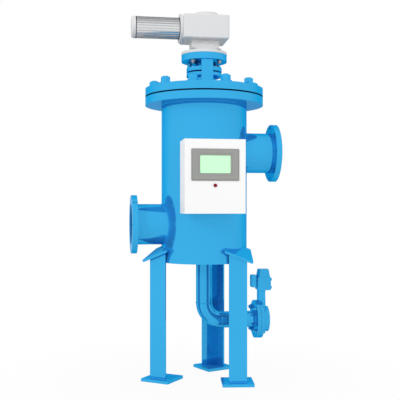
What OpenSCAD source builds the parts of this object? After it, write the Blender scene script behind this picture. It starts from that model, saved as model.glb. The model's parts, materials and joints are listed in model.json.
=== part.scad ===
// Self cleaning filter: an upright vessel on three legs, with a screen that a motor-driven
// brush rotor sweeps clean and a powered drain valve below. Millimetres, +Z up, origin on the
// vessel axis at floor level, +X towards the outlet, -Y towards the control cabinet.

/* [Vessel] */
// Outside diameter of the shell
shell_od = 466; // [440:1:480]
// Wall thickness of the shell
shell_wall = 8; // [6:0.5:10]
// Height of the lower edge of the shell above the floor
shell_bottom = 632; // [600:1:660]
// Thickness of the flat bottom plate
bottom_plate_t = 14; // [10:1:20]
// How far the body flange and the cover stand out of the shell
flange_out = 88.5; // [80:0.5:100]
// Height of the shell up to the lower face of the body flange
shell_l = 850; // [820:1:900]
// Thickness of the body flange
flange_t = 41; // [36:1:46]
// Thickness of the cover gasket
gasket_t = 8; // [4:1:10]
// Thickness of the cover
cover_t = 41; // [36:1:46]
// How far the shell stops below the face of the body flange
shell_recess = 8; // [7:1:10]

/* [Cover studs] */
// Number of cover studs
stud_count = 10; // [8:1:12]
// Distance of the stud circle from the shell
stud_out = 39; // [36:1:48]
// Angle of the first stud from the front
stud_phase = -21; // [-36:1:36]
// Diameter of a cover stud
stud_d = 30; // [24:1:33]
// Width across the flats of a cover nut
nut_af = 46; // [44:1:50]
// Height of a cover nut
nut_h = 30; // [24:1:34]
// Diameter of a washer
washer_od = 66; // [60:1:70]
// Thickness of a washer
washer_t = 9; // [5:1:12]
// How far a stud stands out of its nut
stud_tip = 4; // [2:1:8]
// Length of stud screwed into the body flange
stud_grip = 34; // [26:1:35]

/* [Nozzles] */
// Outside diameter of the nozzle pipes
nozzle_od = 219; // [200:1:225]
// Wall thickness of the nozzle pipes
nozzle_wall = 8; // [6:0.5:10]
// Outside diameter of the nozzle flanges
nozzle_flange_od = 315; // [312:1:330]
// Thickness of the nozzle flanges
nozzle_flange_t = 30; // [22:1:36]
// Diameter of the nozzle bolt circle
nozzle_pcd = 280; // [276:1:285]
// Number of nozzle bolt holes
nozzle_holes = 8; // [4:4:12]
// Diameter of a nozzle bolt hole
nozzle_hole_d = 18; // [14:1:22]
// Distance of the nozzle faces from the shell
nozzle_stand = 167; // [150:1:200]
// Height of the inlet axis above the lower edge of the shell
inlet_rise = 205; // [185:1:220]
// Distance of the outlet axis below the body flange
outlet_drop = 254; // [230:1:280]

/* [Legs] */
// Width of each side of a leg angle
leg_w = 95; // [85:1:100]
// Thickness of a leg angle
leg_t = 9; // [6:0.5:12]
// Distance of the leg centres from the shell
leg_stand = 4; // [0:1:12]
// Angle of the right leg from the front, the others follow in thirds of a turn
leg_angle = 38.5; // [30:0.5:45]
// Side of a square base plate
foot_w = 165; // [150:1:175]
// Thickness of a base plate
foot_t = 16; // [10:1:20]
// Distance of the anchor holes outside the leg centres
anchor_out = 13; // [9:1:20]
// Diameter of an anchor hole
anchor_d = 18; // [14:1:22]
// Slope of the leg cap plates
cap_slope = 29; // [24:1:32]
// Thickness of a leg cap plate
cap_t = 13; // [8:1:16]
// Side of a leg cap plate, seen from above
cap_w = 146; // [136:1:160]
// Height of the lower corner of a cap plate above the lower edge of the shell
cap_rise = 3; // [0:1:12]

/* [Screen and brushes] */
// Gap between the filter screen and the shell
water_gap = 39; // [34:1:50]
// Wall thickness of the filter screen
screen_wall = 5; // [3:0.5:6]
// Slot columns around the filter screen
slot_columns = 18; // [12:2:24]
// Slot rows up the filter screen
slot_rows = 9; // [6:1:10]
// Width of a screen slot
slot_w = 34; // [20:1:40]
// Height of a screen slot
slot_h = 34; // [20:1:38]
// Height of the top face of the partition ring above the lower edge of the shell
partition_rise = 370; // [340:1:390]
// Thickness of the partition ring
partition_t = 12; // [8:1:16]
// Diameter of the drive shaft
shaft_d = 40; // [34:1:44]
// Gap between the brush tips and the screen
brush_gap = 0.5; // [0.3:0.1:2]
// Depth of the brush strips
brush_depth = 28; // [20:1:40]
// Width of the brush strips
brush_w = 16; // [10:1:22]
// Number of brush arms up the shaft
arm_levels = 4; // [3:1:5]

/* [Shaft seal] */
// Diameter of the stuffing box neck
seal_neck_od = 120; // [100:1:130]
// Diameter of the stuffing box flange and the gland flange
gland_od = 193; // [186:1:200]
// Height of the top of the stuffing box flange above the cover
seal_top = 86; // [80:1:90]
// Thickness of the stuffing box flange
seal_flange_t = 18; // [14:1:22]
// Gap between the stuffing box flange and the gland flange
gland_gap = 8; // [5:1:10]
// Thickness of the gland flange
gland_t = 21; // [16:1:22]
// Diameter of the packing chamber
packing_od = 64; // [56:1:70]
// Diameter of the gland stud circle
gland_pcd = 160; // [152:1:162]
// Diameter of a gland stud
gland_stud_d = 16; // [12:1:18]
// Width across the flats of a gland nut
gland_nut_af = 24; // [20:1:26]
// Height of a gland nut
gland_nut_h = 14; // [10:1:16]

/* [Yoke] */
// Diameter of the yoke top flange
yoke_od = 248; // [244:1:256]
// Height of the yoke top flange above the cover
yoke_h = 150; // [146:1:165]
// Thickness of the yoke top flange
yoke_flange_t = 35; // [20:1:40]
// Opening of the yoke top flange
yoke_bore = 120; // [110:1:130]
// Outside diameter of the curved strips
strip_od = 228; // [222:1:234]
// Thickness of the curved strips
strip_t = 10; // [6:1:12]
// Width of the curved strips
strip_w = 63; // [50:1:70]
// Diameter of the drive bolt circle
drive_pcd = 200; // [194:1:206]
// Diameter of a drive bolt
drive_bolt_d = 16; // [12:1:18]
// Width across the flats of the drive bolts and their nuts
drive_af = 24; // [20:1:26]
// Height of the drive bolt heads and nuts
drive_head_h = 12; // [8:1:14]

/* [Gear motor] */
// Diameter of the round flange of the output housing
drive_flange_od = 250; // [244:1:258]
// Thickness of the round flange of the output housing
drive_flange_t = 15; // [12:1:20]
// Width of the neck of the output housing
neck_w = 150; // [130:1:156]
// Depth of the neck of the output housing
neck_depth = 96; // [80:1:104]
// Height of the neck of the output housing
neck_h = 63; // [58:1:70]
// Diameter of the round bosses on the front and rear of the output housing
boss_d = 112; // [100:1:116]
// How far the round bosses stand out of the neck
boss_proud = 5; // [3:0.5:7]
// Length of the gearbox housing along the motor
gearbox_l = 248; // [230:1:260]
// Offset of the gearbox housing from the shaft towards the outlet
gearbox_offset = 0; // [-4:0.5:4]
// Depth of the gearbox housing
gearbox_w = 200; // [180:1:210]
// Height of the gearbox housing
gearbox_h = 130; // [120:1:140]
// Edge radius of the gearbox housing
gearbox_round = 9; // [4:1:12]
// Diameter of the round gearbox cap
cap_d = 140; // [120:1:160]
// Height of the round gearbox cap
cap_h = 21; // [12:1:26]
// Offset of the round gearbox cap from the shaft towards the outlet
cap_offset = 10; // [0:1:20]
// Height of the motor axis above the gearbox bottom
motor_rise = 67; // [60:1:70]
// Diameter of the motor flange
motor_flange_d = 158; // [140:1:166]
// Thickness of the motor flange
motor_flange_t = 14; // [10:1:18]
// Diameter of the motor over its fins
motor_d = 118; // [110:1:124]
// Depth of a motor fin
fin_depth = 6; // [4:0.5:8]
// Thickness of a motor fin
fin_t = 3.4; // [2:0.1:4]
// Number of motor fins
fin_count = 24; // [16:2:30]
// Length of the finned motor frame
motor_l = 236; // [220:1:260]
// Length of the motor end cap
end_cap_l = 24; // [18:1:30]

/* [Cabinet] */
// Width of the cabinet
cabinet_w = 305; // [290:1:320]
// Height of the cabinet
cabinet_h = 368; // [350:1:390]
// Height of the lower edge of the cabinet above the lower edge of the shell
cabinet_rise = 265; // [240:1:280]
// Depth of the cabinet with its door
cabinet_depth = 175; // [165:1:190]
// Distance of the cabinet back from the shell
cabinet_stand = 13; // [10:1:25]
// Offset of the cabinet from the vessel axis towards the outlet
cabinet_x = -11; // [-20:1:20]
// Thickness of the cabinet sheet
sheet_t = 2; // [1.5:0.1:2.5]
// Depth of the door tray
door_t = 20; // [18:1:24]
// Gap between the door and the box
door_gap = 7; // [6.5:0.5:9]
// Distance of the hinge axis from the door edge
hinge_inset = 7; // [6.8:0.1:7.2]
// Distance of the hinge axis in front of the rear edge of the door
hinge_depth = 5.7; // [5.5:0.1:5.9]
// Diameter of a hinge pin
hinge_pin_d = 4; // [3:0.1:4.4]
// Diameter of a hinge barrel
hinge_barrel_d = 8; // [7:0.1:8.4]
// Height of a hinge barrel
hinge_barrel_h = 24; // [18:1:30]
// Thickness of a hinge arm
hinge_arm_t = 3; // [2:0.5:5]
// Distance of the hinges from the cabinet middle
hinge_rise = 120; // [100:1:130]
// Distance of the rain collar from the cabinet edge
collar_inset = 16; // [15:1:18]
// How far the rain collar reaches into the door tray
collar_reach = 18; // [16:1:18]
// Width of the door seal
seal_w = 10; // [8:1:11]
// Width of a cabinet bracket
bracket_w = 220; // [180:1:240]
// Height of a cabinet bracket
bracket_h = 40; // [30:1:50]
// Thickness of a cabinet bracket
bracket_t = 6; // [4:0.5:8]
// Distance of the brackets from the cabinet's upper and lower edges
bracket_inset = 50; // [40:1:70]

/* [Control devices] */
// Distance of the upper device row below the cabinet top
device_drop = 68; // [50:1:80]
// Distance of the device rows from the cabinet's left edge
device_inset = 52; // [46:1:60]
// Gap between devices in a row
device_gap = 22; // [15:1:30]
// Width of the controller and of the terminal row
controller_w = 120; // [100:1:130]
// Height of the controller and the power supply
controller_h = 90; // [80:1:100]
// Width of the power supply and of the motor breaker
supply_w = 55; // [45:1:60]
// Height of the motor breaker
breaker_h = 80; // [70:1:90]
// Height of the terminal row
terminal_h = 50; // [40:1:60]
// Depth of the controller and the power supply
device_depth = 60; // [50:1:65]
// Depth of the motor breaker
breaker_depth = 55; // [45:1:65]
// Depth of the terminal row
terminal_depth = 40; // [30:1:50]

/* [Operator panel] */
// Width of the operator panel
panel_w = 239; // [225:1:245]
// Height of the operator panel
panel_h = 158; // [150:1:170]
// Distance of the panel centre below the cabinet top
panel_drop = 127; // [118:1:134]
// Corner radius of the operator panel
panel_round = 4; // [2:0.5:8]
// How far the panel stands out of the door
panel_proud = 6; // [4:0.5:10]
// Width of the screen
display_w = 151; // [140:1:158]
// Height of the screen
display_h = 86; // [80:1:96]
// Height of the screen centre above the panel centre
display_rise = 2; // [0:0.5:6]
// Corner radius of the screen
display_round = 5; // [2:0.5:8]
// Depth of the panel case behind the door
panel_depth = 40; // [30:1:50]
// Diameter of the push button
button_d = 17; // [14:0.5:20]
// Distance of the push button below the panel centre
button_drop = 102; // [98:1:112]
// How far the push button stands out of the door
button_proud = 5; // [4:0.5:8]
// Travel of the push button
button_travel = 3; // [2:0.5:4]

/* [Drain] */
// Outside diameter of the drain pipe
drain_od = 88.9; // [80:0.1:92]
// Wall thickness of the drain pipe
drain_wall = 4; // [3:0.5:5]
// Height of the horizontal drain run
drain_z = 312; // [300:1:330]
// Bend radius of the drain elbow at its centre line
drain_bend = 95; // [90:1:114]
// Distance of the drain flange face from the vessel axis
drain_reach = 299; // [290:1:310]
// Diameter of the drain flange and the valve lug flange
drain_flange_od = 208; // [204:1:210]
// Thickness of the drain flange
drain_flange_t = 20; // [15:1:24]
// Diameter of the drain bolt circle
drain_pcd = 170; // [169:1:172]
// Diameter of the drain bolts
drain_bolt_d = 16; // [12:1:16]
// Diameter of a drain bolt hole
drain_hole_d = 18; // [17:1:20]
// Width across the flats of the drain bolts and nuts
drain_af = 24; // [20:1:26]
// Height of the drain bolt heads and nuts
drain_head_h = 11; // [8:1:13]

/* [Valve] */
// Thickness of the valve lug flange
lug_t = 16; // [12:1:20]
// Diameter of the valve body
valve_od = 140; // [130:1:141]
// Length of the valve body from its joint face
valve_l = 54; // [48:1:60]
// Outside diameter of the rubber seat
seat_od = 100; // [96:1:104]
// Bore of the rubber seat
seat_id = 80; // [74:1:84]
// Distance of the valve stem from the joint face
stem_offset = 20; // [20:1:26]
// Diameter of the valve stem
stem_d = 14; // [10:0.5:16]
// Thickness of the valve disc
disc_t = 8; // [6:1:12]
// Width of the actuator neck
post_w = 38; // [34:1:39]
// Depth of the actuator neck
post_depth = 44; // [36:1:50]
// Height of the valve body's top pad above the drain axis
pad_rise = 107; // [106:1:112]
// Length of the actuator neck
post_l = 53; // [46:1:60]

/* [Actuator] */
// Width of the actuator housing
actuator_w = 75; // [70:1:82]
// Depth of the actuator housing
actuator_depth = 72; // [64:1:80]
// Height of the actuator housing
actuator_h = 73; // [66:1:80]
// Offset of the actuator housing from the stem towards the outlet
actuator_offset = 11; // [4:1:14]
// Edge radius of the actuator
actuator_round = 4; // [2:0.5:8]
// Height of the tapered actuator cap
actuator_cap_h = 42; // [34:1:50]
// Width of the actuator cap at its foot
actuator_cap_w = 66; // [60:1:70]
// Width of the actuator cap at its top
actuator_cap_top_w = 54; // [40:1:60]
// Width of the side motor box
side_box_w = 31; // [28:1:40]
// Depth of the side motor box
side_box_depth = 50; // [40:1:60]
// Height of the side motor box
side_box_h = 68; // [56:1:72]
// Height of the foot of the side motor box above the housing's foot
side_box_rise = 15; // [4:1:18]
// Distance of the side motor box behind the middle of the actuator housing
side_box_shift = 6; // [0:1:8]
// Diameter of a conduit entry
conduit_d = 14; // [10:1:18]
// Length of a conduit entry
conduit_l = 7; // [4:1:12]

/* [Hidden] */
$fn = 96;
// Gap at welded and screwed seats
weld_gap = 0.1;
// Radial play of a running fit
running_gap = 0.05;
// Gap between pieces that move past each other
moving_gap = 0.3;
// Overcut of a cutting tool
over = 1;
// Facets of the rounded housings
round_fn = 24;
// Flat face of a nut or bolt head as a share of its width over flats
nut_face = 0.95;
// Slope of the chamfer on a nut or bolt head, in degrees
nut_slope = 30;

paint = "#3fb0e8";
grey = "#e0e2e4";
steel = "#c4c7ca";
black = "#14202c";

shell_r = shell_od / 2;
shell_id = shell_od - 2 * shell_wall;
flange_od = shell_od + 2 * flange_out;
flange_bottom = shell_bottom + shell_l;
flange_top = flange_bottom + flange_t;
shell_top = flange_top - shell_recess;
cover_z = flange_top + gasket_t;
cover_top = cover_z + cover_t;
stud_pcd = shell_od + 2 * stud_out;
nozzle_reach = shell_r + nozzle_stand;
inlet_z = shell_bottom + inlet_rise;
outlet_z = flange_bottom - outlet_drop;
nozzle_id = nozzle_od - 2 * nozzle_wall;
leg_r = shell_r + leg_stand;
leg_corner = leg_r + leg_w * sqrt(2) / 2;
leg_angles = [leg_angle - 120, leg_angle, leg_angle + 120];
anchor_r = leg_r + anchor_out;
cap_half = cap_w * sqrt(2) / 2;
cap_corner = leg_r + cap_half;
cap_low_z = shell_bottom + cap_rise;

screen_od = shell_id - 2 * water_gap;
screen_id = screen_od - 2 * screen_wall;
partition_z = shell_bottom + partition_rise;
screen_ring_t = shell_recess - moving_gap;
screen_ring_od = shell_od - 2;
screen_low = partition_z - partition_t;
brush_r = screen_id / 2 - brush_gap;
bar_t = 12;
bar_r = brush_r - brush_depth;
brush_low = partition_z + 20;
brush_high = flange_bottom - 20;
hub_od = shaft_d + 36;
hub_h = 50;
hub_low = screen_low - hub_h;
bush_od = shaft_d + 16;
spider_t = 14;
arm_d = 22;

seal_z = cover_top + seal_top;
gland_z = seal_z + gland_gap;
gland_top = gland_z + gland_t;
throat_t = 20;
spigot_l = 14;
packing_low = cover_top + throat_t;
packing_high = gland_z - spigot_l;
gland_tip = 11;
gland_bury = seal_flange_t;

yoke_z = cover_top + yoke_h;
drive_z = yoke_z + yoke_flange_t;
neck_z = drive_z + drive_flange_t;
gearbox_z = neck_z + neck_h;
gearbox_top = gearbox_z + gearbox_h;
gearbox_left = gearbox_offset - gearbox_l / 2;
motor_z = gearbox_z + motor_rise;
cap_edge = 4;
end_cap_edge = 7;
coupling_od = shaft_d + 32;
coupling_low = gland_top + 10;
coupling_high = drive_z - 5;
shaft_split = (coupling_low + coupling_high) / 2;
shaft_low = hub_low + 5;
output_reach = 40;
output_high = neck_z + output_reach;

cabinet_z = shell_bottom + cabinet_rise;
cabinet_top = cabinet_z + cabinet_h;
cabinet_back = shell_r + cabinet_stand;
cabinet_front = cabinet_back + cabinet_depth;
door_rear = cabinet_front - door_t;
box_front = door_rear - door_gap;
cabinet_right = cabinet_x + cabinet_w / 2;
hinge_x = cabinet_right - hinge_inset;
hinge_y = -door_rear - hinge_depth;
hinge_levels = [cabinet_z + cabinet_h / 2 - hinge_rise, cabinet_z + cabinet_h / 2 + hinge_rise];
lip_w = 24;
panel_z = cabinet_top - panel_drop;
display_z = panel_z + display_rise;
button_z = panel_z - button_drop;
case_margin = 9;
arm_sweep = 11;
bezel_step = 5;
bezel_drop = 2.4;
glass_margin = 11;
glass_drop = 1.4;
button_body_d = button_d + 10;
button_body_l = 30;
button_shank = 11.5;
plate_margin = 24;
plate_stand = 8;
plate_t = 2;
plate_stud_d = 12;
stud_inset = plate_margin + 20;

drain_id = drain_od - 2 * drain_wall;
weld_step = 3;
bend_z = drain_z + drain_bend;
joint_x = drain_reach + 1;
stem_x = joint_x + stem_offset;
pad_z = drain_z + pad_rise;
post_top = pad_z + post_l;
disc_d = seat_id - 2 * moving_gap;
stem_bury = 18;
hub_wall = 5;
actuator_x = stem_x + actuator_offset;

// Turns +X to the direction at an angle from the front, counted towards the outlet
module polar(angle) {
    rotate([0, 0, angle - 90]) children();
}

// Turns +Z to +X (side 1) or -X (side -1) at a height
module sideways(side, z) {
    translate([0, 0, z]) rotate([0, side * 90, 0]) children();
}

// Copies evenly spaced on a circle around Z
module on_circle(count, radius, phase = 0) {
    for (i = [0 : count - 1]) rotate([0, 0, phase + i * 360 / count]) translate([radius, 0, 0]) children();
}

module tube(od, id, h) {
    difference() {
        cylinder(d = od, h = h);
        translate([0, 0, -over]) cylinder(d = id, h = h + 2 * over);
    }
}

// Hexagon nut or head, chamfered on both faces
module hexagon(af, h) {
    face = nut_face * af / 2;
    rim = face + h / tan(nut_slope);
    intersection() {
        cylinder(d = af / cos(30), h = h, $fn = 6);
        cylinder(r1 = rim, r2 = face, h = h);
        cylinder(r1 = face, r2 = rim, h = h);
    }
}

// Box with rounded edges, standing on Z = 0 and centred on X and Y
module rounded_box(w, depth, h, r) {
    hull() for (x = [-1, 1], y = [-1, 1], z = [r, h - r])
        translate([x * (w / 2 - r), y * (depth / 2 - r), z]) sphere(r = r, $fn = round_fn);
}

// Rectangle with bevelled corners, centred on the origin
module bevelled_square(w, h, bevel) {
    polygon([
        [bevel - w / 2, -h / 2], [w / 2 - bevel, -h / 2], [w / 2, bevel - h / 2], [w / 2, h / 2 - bevel],
        [w / 2 - bevel, h / 2], [bevel - w / 2, h / 2], [-w / 2, h / 2 - bevel], [-w / 2, bevel - h / 2]
    ]);
}

// Rectangle with rounded corners, centred on the origin
module rounded_square(w, h, r) {
    square([w - 2 * r, h], center = true);
    square([w, h - 2 * r], center = true);
    if (r > 0) for (x = [-1, 1], y = [-1, 1]) translate([x * (w / 2 - r), y * (h / 2 - r)]) circle(r = r);
}

// Box with bevelled upright and front edges, standing on Z = 0 and centred on X and Y
module bevelled_box(w, depth, h, bevel) {
    intersection() {
        linear_extrude(h) bevelled_square(w, depth, bevel);
        translate([0, depth / 2, h / 2]) rotate([90, 0, 0]) linear_extrude(depth) bevelled_square(w, h, bevel);
    }
}

// Box given by its two corners
module block(low, high) {
    translate(low) cube(high - low);
}

// Vessel

module vessel_shell() color(paint) difference() {
    translate([0, 0, shell_bottom]) tube(shell_od, shell_id, shell_top - shell_bottom);
    sideways(-1, inlet_z) cylinder(d = nozzle_id, h = shell_od);
    sideways(1, outlet_z) cylinder(d = nozzle_id, h = shell_od);
}

module bottom_plate() color(paint) translate([0, 0, shell_bottom + over])
    tube(shell_id - 2 * weld_gap, drain_id, bottom_plate_t);

module stud_holes(d, z, h) {
    translate([0, 0, z]) on_circle(stud_count, stud_pcd / 2, stud_phase - 90) cylinder(d = d, h = h);
}

module body_flange() color(paint) difference() {
    translate([0, 0, flange_bottom]) tube(flange_od, shell_od + 2 * weld_gap, flange_t);
    stud_holes(stud_d + 2 * weld_gap, flange_top - stud_grip - over, stud_grip + 2 * over);
}

module cover_gasket() color(black) difference() {
    translate([0, 0, flange_top]) tube(flange_od - 4, shell_id, gasket_t);
    stud_holes(stud_d + 3, flange_top - over, gasket_t + 2 * over);
}

module cover() color(paint) difference() {
    translate([0, 0, cover_z]) tube(flange_od, shaft_d + 4, cover_t);
    stud_holes(stud_d + 3, cover_z - over, cover_t + 2 * over);
}

module cover_studs() color(paint)
    stud_holes(stud_d, flange_top - stud_grip, stud_grip + gasket_t + cover_t + washer_t + nut_h + stud_tip);

module cover_washers() color(paint) translate([0, 0, cover_top])
    on_circle(stud_count, stud_pcd / 2, stud_phase - 90) tube(washer_od, stud_d + 2, washer_t);

module cover_nuts() color(paint) translate([0, 0, cover_top + washer_t])
    on_circle(stud_count, stud_pcd / 2, stud_phase - 90) difference() {
        hexagon(nut_af, nut_h);
        translate([0, 0, -over]) cylinder(d = stud_d + 2 * weld_gap, h = nut_h + 2 * over);
    }

// Nozzles

module nozzle_pipe(side, z) color(paint) difference() {
    sideways(side, z) tube(nozzle_od, nozzle_id, nozzle_reach - 5);
    translate([0, 0, z - nozzle_od]) cylinder(d = shell_od + 2 * weld_gap, h = 2 * nozzle_od);
}

module nozzle_flange(side, z) color(paint) sideways(side, z) translate([0, 0, nozzle_reach - nozzle_flange_t])
    difference() {
        tube(nozzle_flange_od, nozzle_od + 2 * weld_gap, nozzle_flange_t);
        translate([0, 0, -over]) on_circle(nozzle_holes, nozzle_pcd / 2)
            cylinder(d = nozzle_hole_d, h = nozzle_flange_t + 2 * over);
    }

module inlet_pipe() { nozzle_pipe(-1, inlet_z); }
module inlet_flange() { nozzle_flange(-1, inlet_z); }
module outlet_pipe() { nozzle_pipe(1, outlet_z); }
module outlet_flange() { nozzle_flange(1, outlet_z); }

// Legs

// Everything above the sloped underside of a cap plate
module above_cap() {
    translate([cap_corner, 0, cap_low_z]) rotate([0, cap_slope, 0])
        translate([-flange_od, -flange_od / 2, 0]) cube([2 * flange_od, flange_od, flange_od]);
}

// Angle section up to the sloped underside of its cap plate
module leg() {
    long = cap_low_z + leg_w;
    difference() {
        translate([leg_corner, 0, foot_t]) rotate([0, 0, 135]) difference() {
            cube([leg_w, leg_w, long]);
            translate([leg_t, leg_t, -over]) cube([leg_w, leg_w, long + 2 * over]);
        }
        above_cap();
    }
}

module legs() color(paint) for (angle = leg_angles) polar(angle) leg();

// Square plate laid on the leg, sloped up to the shell and cut round it
module leg_cap() {
    side = cap_half / cos(cap_slope);
    difference() {
        translate([cap_corner, 0, cap_low_z]) rotate([0, cap_slope, 0]) linear_extrude(cap_t)
            polygon([[0, 0], [-side, cap_half], [-2 * side, 0], [-side, -cap_half]]);
        cylinder(d = shell_od + 2 * weld_gap, h = flange_bottom);
    }
}

module leg_caps() color(paint) for (angle = leg_angles) polar(angle) leg_cap();

module base_plates() color(paint) for (angle = leg_angles) polar(angle) difference() {
    translate([leg_r, 0, 0]) rotate([0, 0, 45]) translate([-foot_w / 2, -foot_w / 2, 0])
        cube([foot_w, foot_w, foot_t]);
    translate([anchor_r, 0, -over]) cylinder(d = anchor_d, h = foot_t + 2 * over);
}

// Screen and lower bearing

module partition_ring() color(paint) translate([0, 0, screen_low])
    tube(shell_id - 2 * weld_gap, screen_od + 2 * moving_gap, partition_t);

module bearing_spider() color(steel) difference() {
    union() {
        translate([0, 0, hub_low]) cylinder(d = hub_od, h = hub_h);
        for (i = [0 : 2]) polar(i * 120)
            block([0, -15, screen_low - spider_t], [screen_od / 2 + 15, 15, screen_low]);
    }
    translate([0, 0, hub_low - over]) cylinder(d = bush_od + 2 * weld_gap, h = hub_h + 2 * over);
}

module bottom_bush() color("#b08a4a") translate([0, 0, hub_low])
    tube(bush_od, shaft_d + 2 * running_gap, hub_h);

module filter_screen() color(steel) difference() {
    union() {
        translate([0, 0, screen_low]) tube(screen_od, screen_id, shell_top + screen_ring_t - screen_low);
        translate([0, 0, shell_top]) tube(screen_ring_od, screen_id, screen_ring_t);
    }
    pitch = (flange_bottom - partition_z) / slot_rows;
    for (row = [0 : slot_rows - 1], column = [0 : slot_columns - 1])
        rotate([0, 0, column * 360 / slot_columns])
            translate([screen_id / 2 - over, -slot_w / 2, partition_z + (row + 0.5) * pitch - slot_h / 2])
                cube([screen_wall + 4 * over, slot_w, slot_h]);
}

// Shaft seal

module gland_circle() {
    on_circle(4, gland_pcd / 2) children();
}

module stuffing_box() color(paint) difference() {
    union() {
        translate([0, 0, cover_top]) cylinder(d = seal_neck_od, h = seal_top);
        translate([0, 0, seal_z - seal_flange_t]) cylinder(d = gland_od, h = seal_flange_t);
    }
    translate([0, 0, cover_top - over]) cylinder(d = shaft_d + 4, h = seal_top + 2 * over);
    translate([0, 0, packing_low]) cylinder(d = packing_od, h = seal_top);
    translate([0, 0, seal_z - gland_bury]) gland_circle()
        translate([0, 0, -over]) cylinder(d = gland_stud_d + 2 * weld_gap, h = gland_bury + 2 * over);
}

module shaft_packing() color("#8c8a80") translate([0, 0, packing_low])
    tube(packing_od - 2 * weld_gap, shaft_d + 2 * running_gap, packing_high - packing_low);

module gland_flange() color(paint) difference() {
    union() {
        translate([0, 0, gland_z]) cylinder(d = gland_od, h = gland_t);
        translate([0, 0, packing_high]) cylinder(d = packing_od - 2 * moving_gap, h = spigot_l + over);
    }
    translate([0, 0, packing_high - over]) cylinder(d = shaft_d + 2, h = gland_t + spigot_l + 3 * over);
    translate([0, 0, gland_z - over]) gland_circle() cylinder(d = gland_stud_d + 2, h = gland_t + 2 * over);
}

module gland_studs() color(paint) gland_circle() {
    translate([0, 0, seal_z - gland_bury])
        cylinder(d = gland_stud_d, h = gland_bury + gland_gap + gland_t + gland_nut_h + gland_tip);
    translate([0, 0, gland_top]) difference() {
        hexagon(gland_nut_af, gland_nut_h);
        translate([0, 0, -over]) cylinder(d = gland_stud_d + 2 * weld_gap, h = gland_nut_h + 2 * over);
    }
}

// Yoke and gear motor

module drive_circle() {
    on_circle(4, drive_pcd / 2, 45) children();
}

module yoke() color(paint) {
    difference() {
        translate([0, 0, yoke_z]) tube(yoke_od, yoke_bore, yoke_flange_t);
        translate([0, 0, yoke_z - over]) drive_circle() cylinder(d = drive_bolt_d + 2, h = yoke_flange_t + 2 * over);
    }
    intersection() {
        translate([0, 0, cover_top]) tube(strip_od, strip_od - 2 * strip_t, yoke_h + over);
        translate([-strip_w / 2, -strip_od, cover_top]) cube([strip_w, 2 * strip_od, yoke_h + over]);
    }
}

module drive_bolts() color(steel) drive_circle() {
    translate([0, 0, yoke_z - drive_head_h - 6])
        cylinder(d = drive_bolt_d, h = neck_z - yoke_z + drive_head_h + 6 + over);
    translate([0, 0, neck_z]) hexagon(drive_af, drive_head_h);
    translate([0, 0, yoke_z - drive_head_h]) difference() {
        hexagon(drive_af, drive_head_h);
        translate([0, 0, -over]) cylinder(d = drive_bolt_d + 2 * weld_gap, h = drive_head_h + 2 * over);
    }
}

module output_housing() color(grey) difference() {
    union() {
        translate([0, 0, drive_z]) cylinder(d = drive_flange_od, h = drive_flange_t);
        block([-neck_w / 2, -neck_depth / 2, neck_z - over], [neck_w / 2, neck_depth / 2, gearbox_z]);
        intersection() {
            translate([0, neck_depth / 2 + boss_proud, neck_z]) rotate([90, 0, 0])
                cylinder(d = boss_d, h = neck_depth + 2 * boss_proud);
            translate([-boss_d / 2, -neck_depth, neck_z - over]) cube([boss_d, 2 * neck_depth, boss_d]);
        }
    }
    translate([0, 0, drive_z - over]) cylinder(d = shaft_d + 2 * running_gap, h = output_high - drive_z + 2 * over);
    translate([0, 0, drive_z - over]) drive_circle() cylinder(d = drive_bolt_d + 2, h = drive_flange_t + 2 * over);
}

module gearbox_housing() color(grey) translate([gearbox_offset, 0, gearbox_z])
    rounded_box(gearbox_l, gearbox_w, gearbox_h, gearbox_round);

module gearbox_cap() color(grey) translate([cap_offset, 0, gearbox_top]) {
    cylinder(d = cap_d, h = cap_h - cap_edge);
    translate([0, 0, cap_h - cap_edge]) cylinder(d1 = cap_d, d2 = cap_d - 2 * cap_edge, h = cap_edge);
}

module motor_axis(x) {
    translate([x, 0, 0]) sideways(-1, motor_z) children();
}

module motor_flange() color(grey) motor_axis(gearbox_left) cylinder(d = motor_flange_d, h = motor_flange_t);

module motor_frame() color("#d7d9d9") motor_axis(gearbox_left - motor_flange_t) {
    cylinder(d = motor_d - 2 * fin_depth, h = motor_l);
    for (i = [0 : fin_count - 1]) rotate([0, 0, i * 360 / fin_count])
        translate([motor_d / 2 - 2 * fin_depth, -fin_t / 2, 0]) cube([2 * fin_depth, fin_t, motor_l]);
}

module motor_end_cap() color(grey) motor_axis(gearbox_left - motor_flange_t - motor_l) {
    cylinder(d = motor_d, h = end_cap_l - end_cap_edge);
    translate([0, 0, end_cap_l - end_cap_edge])
        cylinder(d1 = motor_d, d2 = motor_d - 2 * end_cap_edge, h = end_cap_edge);
}

// Cabinet

module cabinet_frame(inset, front, back) {
    block([cabinet_x - cabinet_w / 2 + inset, -front, cabinet_z + inset],
          [cabinet_right - inset, -back, cabinet_top - inset]);
}

module cabinet_box() color("white") {
    difference() {
        cabinet_frame(0, box_front, cabinet_back);
        cabinet_frame(sheet_t, box_front - sheet_t, cabinet_back + sheet_t);
        cabinet_frame(lip_w, box_front + over, cabinet_back + sheet_t);
    }
    difference() {
        cabinet_frame(collar_inset, box_front + collar_reach, box_front);
        cabinet_frame(collar_inset + sheet_t, box_front + collar_reach + over, box_front - over);
    }
}

// Folded plate between the cabinet back and the shell: a back, a top and two cheeks
module cabinet_bracket() difference() {
    block([cabinet_x - bracket_w / 2, -cabinet_back, 0], [cabinet_x + bracket_w / 2, -shell_r / 2, bracket_h]);
    translate([0, 0, -over]) cylinder(d = shell_od + 2 * weld_gap, h = bracket_h + 2 * over);
    block([cabinet_x - bracket_w / 2 + bracket_t, bracket_t - cabinet_back, -over],
          [cabinet_x + bracket_w / 2 - bracket_t, 0, bracket_h - bracket_t]);
}

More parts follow.
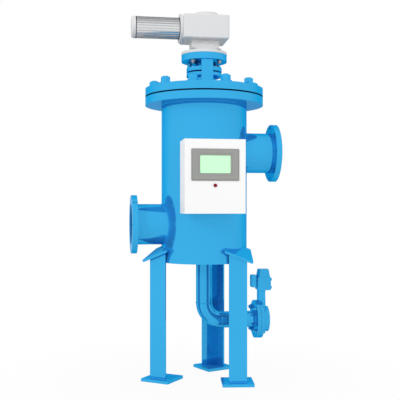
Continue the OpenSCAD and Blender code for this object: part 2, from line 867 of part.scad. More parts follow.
module cabinet_brackets() color(paint)
    for (z = [cabinet_z + bracket_inset, cabinet_top - bracket_inset - bracket_h])
        translate([0, 0, z]) cabinet_bracket();

module cabinet_hinges() color(steel) for (z = hinge_levels) {
    translate([hinge_x, hinge_y, z - hinge_barrel_h]) {
        cylinder(d = hinge_pin_d, h = hinge_barrel_h + moving_gap + over);
        translate([0, 0, hinge_barrel_h + moving_gap]) cylinder(d = hinge_barrel_d, h = hinge_arm_t);
    }
    block([hinge_x - hinge_barrel_d / 2, hinge_y, z + moving_gap],
          [hinge_x + hinge_barrel_d / 2, -box_front, z + moving_gap + hinge_arm_t]);
}

module cabinet_door() color("white") difference() {
    union() {
        difference() {
            cabinet_frame(0, cabinet_front, cabinet_front - door_t);
            cabinet_frame(sheet_t, cabinet_front - sheet_t, cabinet_front - door_t - over);
        }
        for (z = hinge_levels) {
            translate([hinge_x, hinge_y, z - hinge_barrel_h]) cylinder(d = hinge_barrel_d, h = hinge_barrel_h);
            block([hinge_x, hinge_y - hinge_arm_t / 2, z - hinge_barrel_h],
                  [cabinet_right - sheet_t / 2, hinge_y + hinge_arm_t / 2, z]);
        }
    }
    for (z = hinge_levels) {
        translate([hinge_x, hinge_y, z - hinge_barrel_h - over])
            cylinder(d = hinge_pin_d + 2 * running_gap, h = hinge_barrel_h + 2 * over);
        block([hinge_x + hinge_barrel_d / 2, hinge_y - arm_sweep, z],
              [cabinet_right + over, -door_rear + over, z + hinge_arm_t + 2 * over]);
    }
    panel_block(panel_w - 2 * case_margin, panel_h - 2 * case_margin, 0, panel_z, cabinet_front + over,
                cabinet_front - sheet_t - over);
    button_axis(cabinet_front + over) cylinder(d = button_d + 2 * moving_gap, h = sheet_t + 2 * over);
}

module door_seal() color(black) {
    near = collar_inset + sheet_t / 2 - seal_w / 2;
    difference() {
        cabinet_frame(near, cabinet_front - sheet_t, box_front + collar_reach + moving_gap);
        cabinet_frame(near + seal_w, cabinet_front, box_front);
    }
}

// Upright plate with rounded corners on the cabinet's middle line, between two distances from the vessel axis
module panel_block(w, h, r, z, front, back) {
    translate([cabinet_x, -back, z]) rotate([90, 0, 0]) linear_extrude(front - back) rounded_square(w, h, r);
}

module operator_panel() color("#999b96") difference() {
    face = cabinet_front + panel_proud;
    case_w = panel_w - 2 * case_margin - over;
    case_h = panel_h - 2 * case_margin - over;
    union() {
        panel_block(panel_w, panel_h, panel_round, panel_z, face - bezel_drop, cabinet_front);
        panel_block(panel_w - 2 * bezel_step, panel_h - 2 * bezel_step, panel_round, panel_z, face, cabinet_front);
        panel_block(case_w, case_h, 0, panel_z, cabinet_front + over, cabinet_front - panel_depth);
    }
    panel_block(display_w, display_h, display_round, display_z, face + over, cabinet_front);
    panel_block(display_w + 2 * glass_margin, display_h + 2 * glass_margin, display_round, display_z, face + over,
                face - glass_drop);
}

module panel_screen() color("#d2fdd8")
    panel_block(display_w - 2 * weld_gap, display_h - 2 * weld_gap, display_round, display_z,
                cabinet_front + panel_proud - bezel_drop, cabinet_front);

module button_axis(front) {
    translate([cabinet_x, -front, button_z]) rotate([-90, 0, 0]) children();
}

module contact_block() color("#303236") difference() {
    button_axis(cabinet_front - sheet_t) cylinder(d = button_body_d, h = button_body_l);
    button_axis(cabinet_front)
        cylinder(d = button_d + 2 * moving_gap, h = sheet_t + button_shank + button_travel + moving_gap);
}

module push_button() color("#a00018") button_axis(cabinet_front + button_proud)
    cylinder(d = button_d, h = button_proud + sheet_t + button_shank);

module mounting_plate() color(steel) {
    rear = cabinet_back + sheet_t + plate_stand;
    cabinet_frame(plate_margin, rear + plate_t, rear);
    for (x = [-1, 1], z = [cabinet_z + stud_inset, cabinet_top - stud_inset])
        translate([cabinet_x + x * (cabinet_w / 2 - stud_inset), -rear - over, z])
            rotate([-90, 0, 0]) cylinder(d = plate_stud_d, h = plate_stand + over);
}

// Box on the mounting plate, from its upper left corner
module device(left, top, w, h, depth) {
    rear = cabinet_back + sheet_t + plate_stand + plate_t;
    block([left, -rear - depth, top - h], [left + w, -rear, top]);
}

// Controller and power supply above, motor breaker and terminal row below
module control_devices() color("#5a6066") {
    left = cabinet_x - cabinet_w / 2 + device_inset;
    top = cabinet_top - device_drop;
    lower_top = top - controller_h - device_gap;
    device(left, top, controller_w, controller_h, device_depth);
    device(left + controller_w + device_gap, top, supply_w, controller_h, device_depth);
    device(left, lower_top, supply_w, breaker_h, breaker_depth);
    device(left + supply_w + device_gap, lower_top - (breaker_h - terminal_h) / 2, controller_w, terminal_h,
           terminal_depth);
}

// Drain and valve

module drain_riser() color(paint) translate([0, 0, bend_z])
    tube(drain_od, drain_id, shell_bottom + over - bend_z);

module drain_elbow() color(paint) translate([drain_bend, 0, bend_z]) rotate([90, 0, 0]) rotate([0, 0, 180])
    rotate_extrude(angle = 90) translate([drain_bend, 0]) difference() {
        circle(d = drain_od);
        circle(d = drain_id);
    }

module drain_run() color(paint) translate([drain_bend, 0, drain_z]) rotate([0, 90, 0])
    tube(drain_od, drain_id, drain_reach - weld_step - drain_bend);

module drain_circle() {
    on_circle(4, drain_pcd / 2, 45) children();
}

module drain_flange() color(paint) sideways(1, drain_z) translate([0, 0, drain_reach - drain_flange_t]) difference() {
    tube(drain_flange_od, drain_od + 2 * weld_gap, drain_flange_t);
    translate([0, 0, -over]) drain_circle() cylinder(d = drain_hole_d, h = drain_flange_t + 2 * over);
}

module valve_body() color(paint) difference() {
    union() {
        sideways(1, drain_z) translate([0, 0, joint_x]) cylinder(d = drain_flange_od, h = lug_t);
        sideways(1, drain_z) translate([0, 0, joint_x]) cylinder(d = valve_od, h = valve_l);
        block([stem_x - post_w / 2 + 1, -post_depth / 2 - 1, drain_z], [stem_x + post_w / 2 + 1, post_depth / 2 + 1, pad_z]);
    }
    sideways(1, drain_z) translate([0, 0, joint_x - over]) cylinder(d = seat_od + 2 * weld_gap, h = valve_l + 2 * over);
    sideways(1, drain_z) translate([0, 0, joint_x - over]) drain_circle() cylinder(d = drain_hole_d, h = lug_t + 2 * over);
    translate([stem_x, 0, drain_z - seat_od / 2 - 12]) cylinder(d = stem_d + 2 * running_gap, h = seat_od + pad_rise);
}

module valve_seat() color(black) difference() {
    sideways(1, drain_z) translate([0, 0, joint_x]) tube(seat_od, seat_id, valve_l);
    translate([stem_x, 0, drain_z - seat_od]) cylinder(d = stem_d + 2 * moving_gap, h = 2 * seat_od);
}

module valve_bolts() color(paint) sideways(1, drain_z) drain_circle() {
    translate([0, 0, joint_x + lug_t]) hexagon(drain_af, drain_head_h);
    translate([0, 0, drain_reach - drain_flange_t - drain_head_h - 6])
        cylinder(d = drain_bolt_d, h = joint_x + lug_t - drain_reach + drain_flange_t + drain_head_h + 6 + over);
    translate([0, 0, drain_reach - drain_flange_t - drain_head_h]) difference() {
        hexagon(drain_af, drain_head_h);
        translate([0, 0, -over]) cylinder(d = drain_bolt_d + 2 * weld_gap, h = drain_head_h + 2 * over);
    }
}

module valve_disc() color(steel) difference() {
    union() {
        translate([stem_x - disc_t / 2, 0, drain_z]) rotate([0, 90, 0]) cylinder(d = disc_d, h = disc_t);
        intersection() {
            translate([stem_x, 0, drain_z - disc_d / 2]) cylinder(d = stem_d + 2 * hub_wall, h = disc_d);
            translate([stem_x, 0, drain_z]) sphere(d = disc_d - 2 * over);
        }
    }
    translate([stem_x, 0, drain_z - disc_d]) cylinder(d = stem_d + 2 * weld_gap, h = 2 * disc_d);
}

module valve_stem() color(steel) translate([stem_x, 0, drain_z - seat_od / 2 - 11])
    cylinder(d = stem_d, h = post_top + stem_bury - over - drain_z + seat_od / 2 + 11);

// Actuator

module actuator_neck() color(paint) difference() {
    block([stem_x - post_w / 2, -post_depth / 2, pad_z], [stem_x + post_w / 2, post_depth / 2, post_top]);
    translate([stem_x, 0, pad_z - over]) cylinder(d = stem_d + 2, h = post_l + 2 * over);
}

module actuator_housing() color(paint) difference() {
    union() {
        translate([actuator_x, 0, post_top]) bevelled_box(actuator_w, actuator_depth, actuator_h, actuator_round);
        for (z = [0.2, 0.8]) translate([actuator_x + actuator_w / 2 - over, -actuator_depth / 4, post_top + z * actuator_h])
            rotate([0, 90, 0]) cylinder(d = conduit_d, h = conduit_l + over);
    }
    translate([stem_x, 0, post_top - over]) cylinder(d = stem_d + 2 * running_gap, h = stem_bury + over);
}

module actuator_cap() color(paint) translate([actuator_x, 0, post_top + actuator_h]) hull() {
    rounded_slab(actuator_cap_w, 4);
    translate([0, 0, actuator_cap_h - 6]) rounded_slab(actuator_cap_top_w, 6);
}

module rounded_slab(w, h) {
    for (x = [-1, 1], y = [-1, 1]) translate([x * (w / 2 - 6), y * (w / 2 - 6), 0]) cylinder(r = 6, h = h, $fn = 32);
}

module actuator_motor() color(paint)
    translate([actuator_x - actuator_w / 2 - side_box_w / 2, side_box_shift, post_top + side_box_rise])
        bevelled_box(side_box_w, side_box_depth, side_box_h, actuator_round);

// Brush rotor

module drive_shaft() color(steel) translate([0, 0, shaft_low]) cylinder(d = shaft_d, h = shaft_split - shaft_low);

module output_shaft() color(steel) translate([0, 0, shaft_split]) cylinder(d = shaft_d, h = output_high - shaft_split);

module shaft_coupling() color(paint) translate([0, 0, coupling_low])
    tube(coupling_od, shaft_d + 2 * weld_gap, coupling_high - coupling_low);

module brush_frame() color(steel) difference() {
    union() {
        step = (brush_high - brush_low) / arm_levels;
        for (i = [0 : arm_levels - 1]) translate([0, 0, brush_low + (i + 0.5) * step]) {
            translate([0, 0, -arm_d]) cylinder(d = shaft_d + 24, h = 2 * arm_d);
            translate([over - bar_r, 0, 0]) rotate([0, 90, 0]) cylinder(d = arm_d, h = 2 * (bar_r - over));
        }
        for (side = [-1, 1]) translate([side * (bar_r - bar_t / 2) - bar_t / 2, -brush_w, brush_low])
            cube([bar_t, 2 * brush_w, brush_high - brush_low]);
    }
    translate([0, 0, brush_low - over]) cylinder(d = shaft_d + 2 * weld_gap, h = brush_high - brush_low + 2 * over);
}

module brush_strips() color("#2c3440") intersection() {
    for (side = [-1, 1]) translate([side * (bar_r + brush_depth / 2) - brush_depth / 2, -brush_w / 2, brush_low])
        cube([brush_depth, brush_w, brush_high - brush_low]);
    translate([0, 0, brush_low - over]) cylinder(r = brush_r, h = brush_high - brush_low + 2 * over);
}

vessel_shell();
bottom_plate();
body_flange();
cover();
cover_gasket();
cover_studs();
cover_nuts();
cover_washers();
inlet_pipe();
inlet_flange();
outlet_pipe();
outlet_flange();
legs();
leg_caps();
base_plates();
partition_ring();
bearing_spider();
bottom_bush();
filter_screen();
stuffing_box();
shaft_packing();
gland_flange();
gland_studs();
yoke();
drive_bolts();
output_housing();
gearbox_housing();
gearbox_cap();
motor_flange();
motor_frame();
motor_end_cap();
cabinet_box();
cabinet_brackets();
cabinet_hinges();
mounting_plate();
control_devices();
drain_riser();
drain_elbow();
drain_run();
drain_flange();
valve_body();
valve_seat();
valve_bolts();
actuator_neck();
actuator_housing();
actuator_cap();
actuator_motor();
drive_shaft();
shaft_coupling();
output_shaft();
brush_frame();
brush_strips();
valve_disc();
valve_stem();
cabinet_door();
door_seal();
operator_panel();
panel_screen();
contact_block();
push_button();
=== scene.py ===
"""Looks of the self cleaning filter: finishes, weld beads, dark rings of painted shade at the motor's
ends, camera and studio.
"""

import json
import math

import bpy
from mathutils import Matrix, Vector


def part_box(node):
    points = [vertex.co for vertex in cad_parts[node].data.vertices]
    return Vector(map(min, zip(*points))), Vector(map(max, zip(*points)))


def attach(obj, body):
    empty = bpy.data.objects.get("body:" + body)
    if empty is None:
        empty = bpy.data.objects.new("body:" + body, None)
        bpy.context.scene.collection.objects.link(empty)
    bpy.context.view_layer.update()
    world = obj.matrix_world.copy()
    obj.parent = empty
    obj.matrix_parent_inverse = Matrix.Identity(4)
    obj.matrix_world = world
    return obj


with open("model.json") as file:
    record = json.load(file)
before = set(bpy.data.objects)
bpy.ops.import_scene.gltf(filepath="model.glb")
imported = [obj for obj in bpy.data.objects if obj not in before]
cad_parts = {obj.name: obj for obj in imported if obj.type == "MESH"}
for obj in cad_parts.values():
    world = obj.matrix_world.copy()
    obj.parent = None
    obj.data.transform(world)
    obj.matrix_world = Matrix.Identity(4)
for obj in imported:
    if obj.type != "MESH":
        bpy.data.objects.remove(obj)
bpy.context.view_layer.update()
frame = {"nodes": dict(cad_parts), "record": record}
nodes = frame["nodes"]

MM = 0.001
FULL_TURN = 2 * math.pi
X_AXIS = (1, 0, 0)
Z_AXIS = (0, 0, 1)


# Measures of CAD pieces

def size(node):
    low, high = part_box(node)
    return high - low


def middle(node):
    low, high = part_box(node)
    return (low + high) / 2


# Node helpers

def map_range(tree, value, source, target):
    """Maps one range of a value to another, and holds it at the ends."""
    node = tree.nodes.new("ShaderNodeMapRange")
    node.inputs["From Min"].default_value, node.inputs["From Max"].default_value = source
    node.inputs["To Min"].default_value, node.inputs["To Max"].default_value = target
    tree.links.new(value, node.inputs["Value"])
    return node


def vector_math(tree, operation, vector, operand=(0.0, 0.0, 0.0)):
    node = tree.nodes.new("ShaderNodeVectorMath")
    node.operation = operation
    node.inputs[1].default_value = operand
    tree.links.new(vector, node.inputs[0])
    return node


def combine(tree, operation, first, second):
    """One number from two."""
    node = tree.nodes.new("ShaderNodeMath")
    node.operation = operation
    tree.links.new(first, node.inputs[0])
    tree.links.new(second, node.inputs[1])
    return node.outputs[0]


def mix_shaders(tree, factor, first, second):
    node = tree.nodes.new("ShaderNodeMixShader")
    tree.links.new(factor, node.inputs["Fac"])
    tree.links.new(first, node.inputs[1])
    tree.links.new(second, node.inputs[2])
    return node.outputs[0]


# Finishes, with colours in linear red, green and blue

NOISE_MIDDLE = (0.3, 0.7)
EDGE_SAMPLES = 4

TONE_SCALE = 3.0
GLOSS_SCALE = 14.0
PEEL_DETAIL = 2.0
PEEL_DEPTH = 0.3 * MM

# The enamel's mirror weakens between these facing values of Layer Weight, to this share of its strength
MIRROR_FADE = (0.70, 0.90)
MIRROR_LEFT = 0.65

# Depth of the motor's fins, and the height above their roots over which the fins' painted shade sets in
FIN_DEPTH = 6.0 * MM
FIN_ROOT = 2.0 * MM

LINE_SCALE = 160.0
LINE_DETAIL = 4.0
LINE_SHADE = 0.82
LINE_STRENGTH = 0.15
LINE_DEPTH = 0.1 * MM

# Stretch of the noise for lines around the Z axis, and for lines along it
TURNED_LINES = (1.0, 1.0, 14.0)
DRAWN_LINES = (6.0, 6.0, 1.0)

PIXEL_SCALE = 900.0
PIXEL_DETAIL = 1.0
PIXEL_STRETCH = (1.0, 1.0, 6.0)
GLOW_DARK = (0.44, 0.90, 0.48)
GLOW_BRIGHT = (0.49, 0.95, 0.53)
GLOW_STRENGTH = 0.30
PANE_SCALE = 20.0
PANE_ROUGH = (0.10, 0.16)
PANE_COAT = 0.5


def new_material(name):
    material = bpy.data.materials.new(name)
    material.use_nodes = True
    tree = material.node_tree
    return material, tree, tree.nodes["Principled BSDF"]


def noise(tree, scale, detail=3.0, stretch=(1.0, 1.0, 1.0)):
    """Noise in object space, which is the part's own frame in metres."""
    place = tree.nodes.new("ShaderNodeTexCoord")
    mapping = tree.nodes.new("ShaderNodeMapping")
    mapping.inputs["Scale"].default_value = stretch
    texture = tree.nodes.new("ShaderNodeTexNoise")
    texture.inputs["Scale"].default_value = scale
    texture.inputs["Detail"].default_value = detail
    tree.links.new(place.outputs["Object"], mapping.inputs["Vector"])
    tree.links.new(mapping.outputs["Vector"], texture.inputs["Vector"])
    return texture.outputs["Fac"]


def spread(tree, value, low, high):
    """Maps the middle of a noise to a range."""
    return map_range(tree, value, NOISE_MIDDLE, (low, high)).outputs["Result"]


def two_tone(tree, value, first, second):
    node = tree.nodes.new("ShaderNodeMix")
    node.data_type = "RGBA"
    node.inputs["A"].default_value = (*first, 1.0)
    node.inputs["B"].default_value = (*second, 1.0)
    tree.links.new(value, node.inputs["Factor"])
    return node


def relief(tree, shader, height, strength, distance, edge_radius):
    """Surface relief from a height, over edges that are eased by a small radius."""
    eased = tree.nodes.new("ShaderNodeBevel")
    eased.samples = EDGE_SAMPLES
    eased.inputs["Radius"].default_value = edge_radius
    bump = tree.nodes.new("ShaderNodeBump")
    bump.inputs["Strength"].default_value = strength
    bump.inputs["Distance"].default_value = distance
    tree.links.new(height, bump.inputs["Height"])
    tree.links.new(eased.outputs["Normal"], bump.inputs["Normal"])
    tree.links.new(bump.outputs["Normal"], shader.inputs["Normal"])


def coated(name, colour, vary=0.06, rough=(0.30, 0.42), specular=0.4, peel_scale=260.0, peel=0.12,
           edge=1.2 * MM, metallic=0.0):
    """Sprayed, moulded or cast finish: slow tone drift, patchy gloss and a fine surface texture."""
    material, tree, shader = new_material(name)
    darker = tuple(c * (1.0 - vary) for c in colour)
    lighter = tuple(min(1.0, c * (1.0 + vary)) for c in colour)
    drift = spread(tree, noise(tree, TONE_SCALE), 0.0, 1.0)
    tone = two_tone(tree, drift, darker, lighter).outputs["Result"]
    tree.links.new(tone, shader.inputs["Base Color"])
    tree.links.new(spread(tree, noise(tree, GLOSS_SCALE), *rough), shader.inputs["Roughness"])
    relief(tree, shader, noise(tree, peel_scale, PEEL_DETAIL), peel, PEEL_DEPTH, edge)
    shader.inputs["Specular IOR Level"].default_value = specular
    shader.inputs["Metallic"].default_value = metallic
    return material


def enamel(name, colour, edge_tint, mirror, **finish):
    """Metallic enamel: it mirrors its surroundings in its own colour, less where it turns away."""
    material = coated(name, colour, **finish)
    tree = material.node_tree
    shader = tree.nodes["Principled BSDF"]
    shader.inputs["Specular Tint"].default_value = (*edge_tint, 1.0)
    turned_away = tree.nodes.new("ShaderNodeLayerWeight").outputs["Facing"]
    fade = map_range(tree, turned_away, MIRROR_FADE, (mirror, MIRROR_LEFT * mirror))
    tree.links.new(fade.outputs["Result"], shader.inputs["Metallic"])
    return material


def finned(name, colour, fin_shade_colour, node, **finish):
    """Cast motor frame along the X axis: a bright core, with the fins painted darker as painted shade
    for their shadowed sides.
    """
    material = coated(name, colour, **finish)
    tree = material.node_tree
    shader = tree.nodes["Principled BSDF"]
    axis = middle(node)
    core_radius = size(node).z / 2 - FIN_DEPTH
    place = tree.nodes.new("ShaderNodeTexCoord").outputs["Object"]
    centred = vector_math(tree, "SUBTRACT", place, (0.0, axis.y, axis.z)).outputs["Vector"]
    flat = vector_math(tree, "MULTIPLY", centred, (0.0, 1.0, 1.0)).outputs["Vector"]
    radius = vector_math(tree, "LENGTH", flat).outputs["Value"]
    # Painted shade: the fins are darker than the core between them
    fin_shade_mask = map_range(tree, radius, (core_radius, core_radius + FIN_ROOT), (0.0, 1.0))
    tone = shader.inputs["Base Color"].links[0].from_socket
    tint = two_tone(tree, fin_shade_mask.outputs["Result"], colour, fin_shade_colour)
    tree.links.new(tone, tint.inputs["A"])
    tree.links.new(tint.outputs["Result"], shader.inputs["Base Color"])
    return material


def brushed(name, colour, stretch, rough=(0.22, 0.38), edge=0.6 * MM):
    """Bare metal with fine lines along one direction."""
    material, tree, shader = new_material(name)
    lines = noise(tree, LINE_SCALE, LINE_DETAIL, stretch)
    darker = tuple(c * LINE_SHADE for c in colour)
    tone = two_tone(tree, spread(tree, lines, 0.0, 1.0), darker, colour).outputs["Result"]
    tree.links.new(tone, shader.inputs["Base Color"])
    tree.links.new(spread(tree, lines, *rough), shader.inputs["Roughness"])
    relief(tree, shader, lines, LINE_STRENGTH, LINE_DEPTH, edge)
    shader.inputs["Metallic"].default_value = 1.0
    return material


def display(name):
    """Lit screen behind a glossy pane, with the faint pixel rows of a liquid crystal."""
    material, tree, shader = new_material(name)
    rows = noise(tree, PIXEL_SCALE, PIXEL_DETAIL, PIXEL_STRETCH)
    glow = two_tone(tree, spread(tree, rows, 0.0, 1.0), GLOW_DARK, GLOW_BRIGHT).outputs["Result"]
    tree.links.new(glow, shader.inputs["Base Color"])
    tree.links.new(glow, shader.inputs["Emission Color"])
    tree.links.new(spread(tree, noise(tree, PANE_SCALE), *PANE_ROUGH), shader.inputs["Roughness"])
    shader.inputs["Emission Strength"].default_value = GLOW_STRENGTH
    shader.inputs["Coat Weight"].default_value = PANE_COAT
    return material


MATERIALS = {
    "blue_paint": enamel("blue_paint", (0.046, 0.428, 0.795), edge_tint=(0.18, 0.58, 0.88), mirror=0.62,
                         vary=0.02, rough=(0.03, 0.06), specular=0.0, peel=0.01),
    "gasket_rubber": coated("gasket_rubber", (0.002, 0.009, 0.036), vary=0.3, rough=(0.55, 0.75),
                            specular=0.0),
    "stainless_steel": brushed("stainless_steel", (0.58, 0.59, 0.60), TURNED_LINES),
    "zinc_plate": brushed("zinc_plate", (0.42, 0.43, 0.44), DRAWN_LINES),
    "bronze": brushed("bronze", (0.52, 0.33, 0.12), TURNED_LINES),
    "packing": coated("packing", (0.26, 0.25, 0.21), vary=0.3, rough=(0.7, 0.9), peel=0.5),
    "gear_grey": coated("gear_grey", (0.71, 0.715, 0.72), vary=0.02, rough=(0.40, 0.52), specular=0.0,
                        peel_scale=420.0, peel=0.10),
    # The motor fins' darker colour is painted shade
    "motor_grey": finned("motor_grey", (0.72, 0.73, 0.74), fin_shade_colour=(0.52, 0.53, 0.54),
                         node="motor_frame", vary=0.02, rough=(0.10, 0.15), specular=0.6, peel=0.0,
                         edge=0.3 * MM, metallic=0.85),
    "cabinet_white": coated("cabinet_white", (0.93, 0.93, 0.935), vary=0.01, rough=(0.38, 0.46),
                            peel_scale=700.0),
    "panel_grey": coated("panel_grey", (0.315, 0.32, 0.305), vary=0.04, rough=(0.45, 0.6),
                         peel_scale=1500.0),
    "screen_green": display("screen_green"),
    "button_red": coated("button_red", (0.24, 0.001, 0.012), vary=0.1, rough=(0.15, 0.25), specular=0.1),
    "device_grey": coated("device_grey", (0.10, 0.115, 0.13), vary=0.08, rough=(0.5, 0.65),
                          peel_scale=1200.0),
    "bristle": coated("bristle", (0.026, 0.034, 0.052), vary=0.4, rough=(0.6, 0.8), peel=0.8),
}


def dress(thing, slot):
    thing.data.materials.clear()
    thing.data.materials.append(MATERIALS[slot])


for row in frame["record"]["subparts"]:
    dress(nodes[row["node"]], row["material_slot"])


# Weld beads, and dark rings of painted shade at the motor's ends

BEAD_STEP = 1.4 * MM
LEAST_STEPS = 2
BEAD_SIDES = 7
RIPPLE_LENGTH = 4.5 * MM
WELD = 2.5 * MM
WELD_RIPPLE = 0.10
SHADE_RING = 2.2 * MM
SHADE_RING_PROUD = 1.4 * MM

SAME_HEIGHT = 0.2 * MM
PLACE_DIGITS = 5
LEG_COUNT = 3
STRIP_STEPS = 12
CAP_REACH = 1.0 * MM
BEARING_DIGITS = 3


def add_piece(name, mesh, body, slot):
    """Puts a finished mesh in the scene, on a CAD body, with a slot's finish."""
    mesh.polygons.foreach_set("use_smooth", [True] * len(mesh.polygons))
    thing = bpy.data.objects.new(name, mesh)
    bpy.context.scene.collection.objects.link(thing)
    dress(thing, slot)
    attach(thing, body)


def ring_path(centre, axis, radius):
    """Closed circle around an axis."""
    turn = Vector(Z_AXIS).rotation_difference(Vector(axis)).to_matrix()
    count = int(FULL_TURN * radius / BEAD_STEP)
    path = []
    for i in range(count):
        around = FULL_TURN * i / count
        on_circle = Vector((radius * math.cos(around), radius * math.sin(around), 0))
        path.append(Vector(centre) + turn @ on_circle)
    return path


def saddle_path(side, height, pipe_radius, shell_radius):
    """Closed seam where a side pipe meets the round shell."""
    count = int(FULL_TURN * pipe_radius / BEAD_STEP)
    path = []
    for i in range(count):
        around = FULL_TURN * i / count
        y = pipe_radius * math.cos(around)
        z = height + pipe_radius * math.sin(around)
        path.append(Vector((side * math.sqrt(shell_radius ** 2 - y ** 2), y, z)))
    return path


def line_path(corners):
    """Open path along straight runs."""
    path = []
    for start, end in zip(corners, corners[1:]):
        count = max(LEAST_STEPS, int((end - start).length / BEAD_STEP))
        path += [start.lerp(end, i / count) for i in range(count)]
    return path + [corners[-1]]


def bead(name, path, radius, upright, closed=True, slot="blue_paint", ripple=WELD_RIPPLE):
    """Rippled fillet weld along a path, or a smooth tube where the ripple is 0, used for the motor's
    rings of painted shade.
    """
    mesh = bpy.data.meshes.new(name)
    count = len(path)
    verts = []
    faces = []
    travelled = 0.0
    for i, point in enumerate(path):
        before = path[i - 1] if closed or i > 0 else point
        after = path[(i + 1) % count] if closed or i < count - 1 else point
        along = (after - before).normalized()
        side = along.cross(Vector(upright)).normalized()
        over = side.cross(along)
        swell = radius * (1.0 + ripple * math.sin(FULL_TURN * travelled / RIPPLE_LENGTH))
        travelled += (after - point).length
        for k in range(BEAD_SIDES):
            around = FULL_TURN * k / BEAD_SIDES
            verts.append(point + swell * (math.cos(around) * side + math.sin(around) * over))
    last = count if closed else count - 1
    for i in range(last):
        here = i * BEAD_SIDES
        there = ((i + 1) % count) * BEAD_SIDES
        for k in range(BEAD_SIDES):
            turn = (k + 1) % BEAD_SIDES
            faces.append((here + k, here + turn, there + turn, there + k))
    if not closed:
        faces.append(tuple(reversed(range(BEAD_SIDES))))
        faces.append(tuple((count - 1) * BEAD_SIDES + k for k in range(BEAD_SIDES)))
    mesh.from_pydata(verts, [], faces)
    mesh.update()
    add_piece(name, mesh, "vessel", slot)


def weld_ring(name, centre, axis, radius):
    bead(name, ring_path(centre, axis, radius), WELD, axis)


def weld_line(name, corners):
    bead(name, line_path(corners), WELD, Z_AXIS, closed=False)


def corners_of(node):
    return [vertex.co.copy() for vertex in nodes[node].data.vertices]


def corners_at(node, height):
    """Corner points of a CAD piece that lie at one height, each of them once."""
    once = {}
    for point in corners_of(node):
        if abs(point.z - height) < SAME_HEIGHT:
            once[tuple(round(value, PLACE_DIGITS) for value in point)] = point
    return list(once.values())


def across(point):
    """Distance from the vessel's axis."""
    return math.hypot(point.x, point.y)


def bearing(point):
    return math.atan2(point.y, point.x)


def by_leg(points):
    """Splits points into groups, one for each leg."""
    first = bearing(max(points, key=across))
    groups = [[] for number in range(LEG_COUNT)]
    for point in points:
        leg = round((bearing(point) - first) / (FULL_TURN / LEG_COUNT))
        groups[leg % LEG_COUNT].append(point)
    return groups


shell_radius = size("vessel_shell").x / 2
pipe_radius = size("inlet_pipe").y / 2
drain_radius = size("drain_riser").y / 2
flange_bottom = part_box("body_flange")[0].z
cover_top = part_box("cover")[1].z

weld_ring("weld_body_flange", (0, 0, flange_bottom), Z_AXIS, shell_radius)
for name, side in (("inlet", -1), ("outlet", 1)):
    height = middle(name + "_pipe").z
    flange_low, flange_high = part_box(name + "_flange")
    flange_back = flange_high.x if side < 0 else flange_low.x
    bead(f"weld_{name}_saddle", saddle_path(side, height, pipe_radius, shell_radius), WELD, X_AXIS)
    weld_ring(f"weld_{name}_flange", (flange_back, 0, height), X_AXIS, pipe_radius)

riser_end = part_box("drain_riser")[0].z
run_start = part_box("drain_run")[0].x
run_height = middle("drain_run").z
drain_flange_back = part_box("drain_flange")[0].x
weld_ring("weld_drain_riser", (0, 0, riser_end), Z_AXIS, drain_radius)
weld_ring("weld_drain_run", (run_start, 0, run_height), X_AXIS, drain_radius)
weld_ring("weld_drain_flange", (drain_flange_back, 0, run_height), X_AXIS, drain_radius)

stuffing_radius = max(across(point) for point in corners_at("stuffing_box", cover_top))
weld_ring("weld_stuffing_box", (0, 0, cover_top), Z_AXIS, stuffing_radius)

strip_corners = corners_at("yoke", cover_top)
strip_radius = max(across(point) for point in strip_corners)
strip_half = max(point.x for point in strip_corners)
for name, side in (("front", -1), ("rear", 1)):
    arc = []
    for step in range(-STRIP_STEPS, STRIP_STEPS + 1):
        x = step * strip_half / STRIP_STEPS
        arc.append(Vector((x, side * math.sqrt(strip_radius ** 2 - x ** 2), cover_top)))
    weld_line(f"weld_strip_{name}", arc)

# Nearest to a leg's heel are the heel itself and the angle's inner corner, and then the two outer tips
foot_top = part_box("legs")[0].z
for number, corners in enumerate(by_leg(corners_at("legs", foot_top))):
    heel = max(corners, key=across)
    first_tip, second_tip = sorted(corners, key=lambda point: (point - heel).length)[2:4]
    weld_line(f"weld_foot_{number}", [first_tip, heel, second_tip])

# A cap plate's seam runs along its upper corners on the shell
cap_edge = [point for point in corners_of("leg_caps") if across(point) < shell_radius + CAP_REACH]
for number, points in enumerate(by_leg(cap_edge)):
    highest = {}
    middle_bearing = bearing(sum(points, Vector()) / len(points))
    for point in points:
        turn = round(math.remainder(bearing(point) - middle_bearing, FULL_TURN), BEARING_DIGITS)
        highest[turn] = max(highest.get(turn, point), point, key=lambda place: place.z)
    weld_line(f"weld_cap_{number}", [highest[turn] for turn in sorted(highest)])

# The dark rubber-coloured rings at both ends of the motor's fins are painted shade: they stand in for
# the shadowed gaps there
motor_low, motor_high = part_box("motor_frame")
motor_axis = middle("motor_frame")
shade_ring_radius = size("motor_frame").z / 2 + SHADE_RING_PROUD - SHADE_RING
for name, end in (("rear", motor_low.x), ("front", motor_high.x)):
    shade_ring_path = ring_path((end, motor_axis.y, motor_axis.z), X_AXIS, shade_ring_radius)
    bead(f"motor_shade_ring_{name}", shade_ring_path, SHADE_RING, X_AXIS, slot="gasket_rubber", ripple=0.0)


# Camera at the photograph's viewpoint, level and with the photograph's framing

CAMERA_TURN = math.radians(9.03)
CAMERA_DISTANCE = 4.080
CAMERA_HEIGHT = 0.9257
LEVEL = math.radians(90.0)
FOCAL_PIXELS = 744.6
AXIS_PIXEL = 204.1
HORIZON_PIXEL = 207.86
IMAGE_PIXELS = 400.0
SENSOR = 36.0

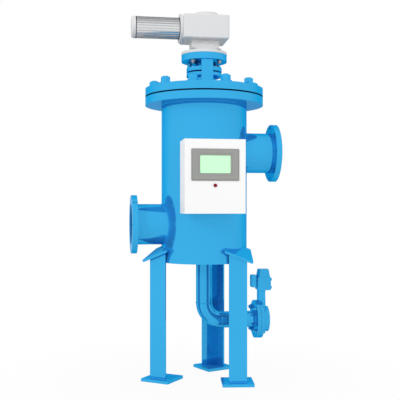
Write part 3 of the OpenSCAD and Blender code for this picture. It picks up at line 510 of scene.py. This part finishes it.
camera_data = bpy.data.cameras.new("camera")
camera_data.sensor_width = SENSOR
camera_data.lens = FOCAL_PIXELS * SENSOR / IMAGE_PIXELS
camera_data.shift_x = (IMAGE_PIXELS / 2 - AXIS_PIXEL) / IMAGE_PIXELS
camera_data.shift_y = (HORIZON_PIXEL - IMAGE_PIXELS / 2) / IMAGE_PIXELS
camera = bpy.data.objects.new("camera", camera_data)
camera_x = -CAMERA_DISTANCE * math.sin(CAMERA_TURN)
camera_y = -CAMERA_DISTANCE * math.cos(CAMERA_TURN)
camera.location = (camera_x, camera_y, CAMERA_HEIGHT)
camera.rotation_euler = (LEVEL, 0.0, -CAMERA_TURN)
bpy.context.scene.collection.objects.link(camera)
bpy.context.scene.camera = camera


# Studio

WHITE = (1.0, 1.0, 1.0, 1.0)
AMBIENT = 0.80
BACKDROP = 1.0
FLOOR_SIZE = 8.0
FLOOR_GREY = (0.62, 0.62, 0.62, 1.0)
FLOOR_ROUGH = 0.9

# Share of plain white in the floor, close to the vessel's axis and far off, and those two distances
FLOOR_WHITE = (0.95, 1.0)
FLOOR_FADE = (0.3, 1.5)


def backdrop_rays(tree):
    """1 for rays that should meet the white studio: from the camera, mirrored or through glass."""
    rays = tree.nodes.new("ShaderNodeLightPath").outputs
    direct = combine(tree, "MAXIMUM", rays["Is Camera Ray"], rays["Is Glossy Ray"])
    return combine(tree, "MAXIMUM", direct, rays["Is Transmission Ray"])


def background(tree, strength):
    node = tree.nodes.new("ShaderNodeBackground")
    node.inputs["Color"].default_value = WHITE
    node.inputs["Strength"].default_value = strength
    return node.outputs[0]


def sun(name, azimuth, elevation, strength, softness):
    """Distant lamp, unseen in mirrors. Azimuth 0 shines from the front, 90 from the outlet side."""
    data = bpy.data.lights.new(name, "SUN")
    data.energy = strength
    data.angle = math.radians(softness)
    lamp = bpy.data.objects.new(name, data)
    around = math.radians(azimuth)
    up = math.radians(elevation)
    level = math.cos(up)
    towards = Vector((math.sin(around) * level, -math.cos(around) * level, math.sin(up)))
    lamp.rotation_euler = towards.to_track_quat("Z", "Y").to_euler()
    lamp.visible_glossy = False
    bpy.context.scene.collection.objects.link(lamp)


world = bpy.data.worlds.new("studio")
bpy.context.scene.world = world
world.use_nodes = True
world_tree = world.node_tree
world_tree.nodes.clear()
ambient = background(world_tree, AMBIENT)
white = background(world_tree, BACKDROP)
surround = mix_shaders(world_tree, backdrop_rays(world_tree), ambient, white)
world_out = world_tree.nodes.new("ShaderNodeOutputWorld")
world_tree.links.new(surround, world_out.inputs["Surface"])

sun("front_lamp", azimuth=9.0, elevation=5.0, strength=0.42, softness=12.0)
sun("left_lamp", azimuth=-51.0, elevation=20.0, strength=0.86, softness=14.0)
sun("right_lamp", azimuth=50.0, elevation=20.0, strength=0.12, softness=20.0)

floor_mesh = bpy.data.meshes.new("floor")
half = FLOOR_SIZE / 2
floor_corners = [(-half, -half, 0), (half, -half, 0), (half, half, 0), (-half, half, 0)]
floor_mesh.from_pydata(floor_corners, [], [(0, 1, 2, 3)])
floor = bpy.data.objects.new("floor", floor_mesh)
bpy.context.scene.collection.objects.link(floor)
floor_material, floor_tree, floor_shader = new_material("floor")
floor_shader.inputs["Base Color"].default_value = FLOOR_GREY
floor_shader.inputs["Roughness"].default_value = FLOOR_ROUGH
floor_shader.inputs["Specular IOR Level"].default_value = 0.0
floor_glow = floor_tree.nodes.new("ShaderNodeEmission").outputs[0]
floor_place = floor_tree.nodes.new("ShaderNodeTexCoord").outputs["Object"]
floor_far = vector_math(floor_tree, "LENGTH", floor_place).outputs["Value"]
floor_fade = map_range(floor_tree, floor_far, FLOOR_FADE, FLOOR_WHITE)
floor_fade.interpolation_type = "SMOOTHSTEP"
floor_share = combine(floor_tree, "MULTIPLY", floor_fade.outputs["Result"], backdrop_rays(floor_tree))
floor_surface = mix_shaders(floor_tree, floor_share, floor_shader.outputs[0], floor_glow)
floor_tree.links.new(floor_surface, floor_tree.nodes["Material Output"].inputs["Surface"])
floor_mesh.materials.append(floor_material)

bpy.context.scene.view_settings.view_transform = "Standard"
